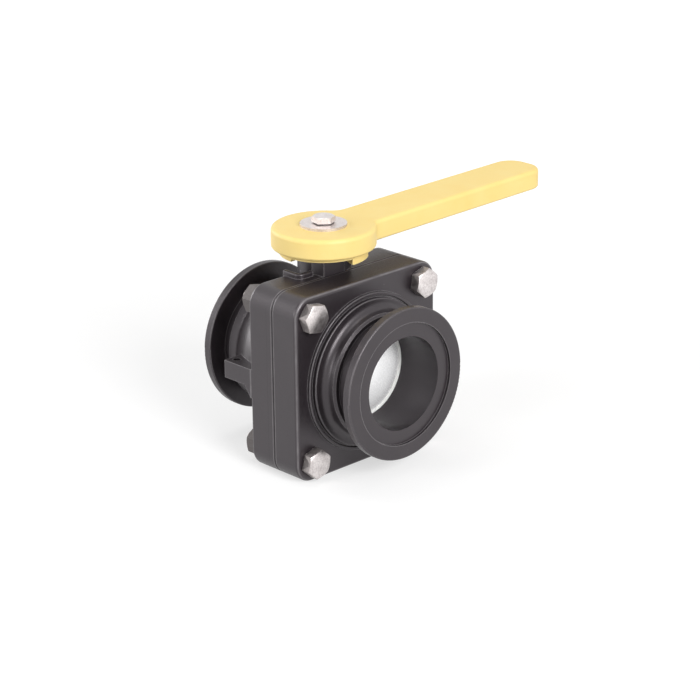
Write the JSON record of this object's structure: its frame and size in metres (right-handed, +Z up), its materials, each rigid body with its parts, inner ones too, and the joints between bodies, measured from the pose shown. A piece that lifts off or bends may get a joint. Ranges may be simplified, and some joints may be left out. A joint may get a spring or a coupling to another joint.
{
  "type": "manifold ball valve",
  "caption": "Full-port ball valve with square bolted body halves, round manifold flanges at both ends and a quarter-turn lever handle.",
  "frame": {"origin": "on the flat underside of the body plates, straight below the centre of the ball", "axes": "+X along the lever when the valve is shut, +Y along the flow from the front flange to the rear flange, +Z up along the stem"},
  "size_m": [0.2111, 0.1128, 0.1294],
  "materials": {
    "body_plastic": "black glass-filled moulding, fine matte grain",
    "handle_plastic": "pale yellow moulding, satin",
    "ball_plastic": "white, smooth satin",
    "stem_plastic": "black moulding",
    "insert_steel": "turned",
    "seat_plastic": "white, waxy",
    "seal_rubber": "black",
    "fastener_steel": "stainless, dull"
  },
  "bodies": {
    "valve_body": {"body_rear": "body_plastic", "body_front": "body_plastic", "body_bolts": "fastener_steel", "body_nuts": "fastener_steel", "seat_ring_front": "seat_plastic", "seat_ring_rear": "seat_plastic", "seat_oring_front": "seal_rubber", "seat_oring_rear": "seal_rubber", "joint_oring": "seal_rubber", "stem_thrust_washer": "seat_plastic"},
    "turning_group": {"ball": "ball_plastic", "stem": "stem_plastic", "stem_insert": "insert_steel", "stem_oring_lower": "seal_rubber", "stem_oring_upper": "seal_rubber", "handle": "handle_plastic", "handle_washer": "fastener_steel", "handle_lock_washer": "fastener_steel", "handle_bolt": "fastener_steel"}
  },
  "joints": [
    {"name": "handle_turn", "type": "hinge", "parent": "valve_body", "child": "turning_group", "pos_m": [0, 0, 0.0508], "axis": [0, 0, 1], "range_deg": [0, 90]}
  ]
}
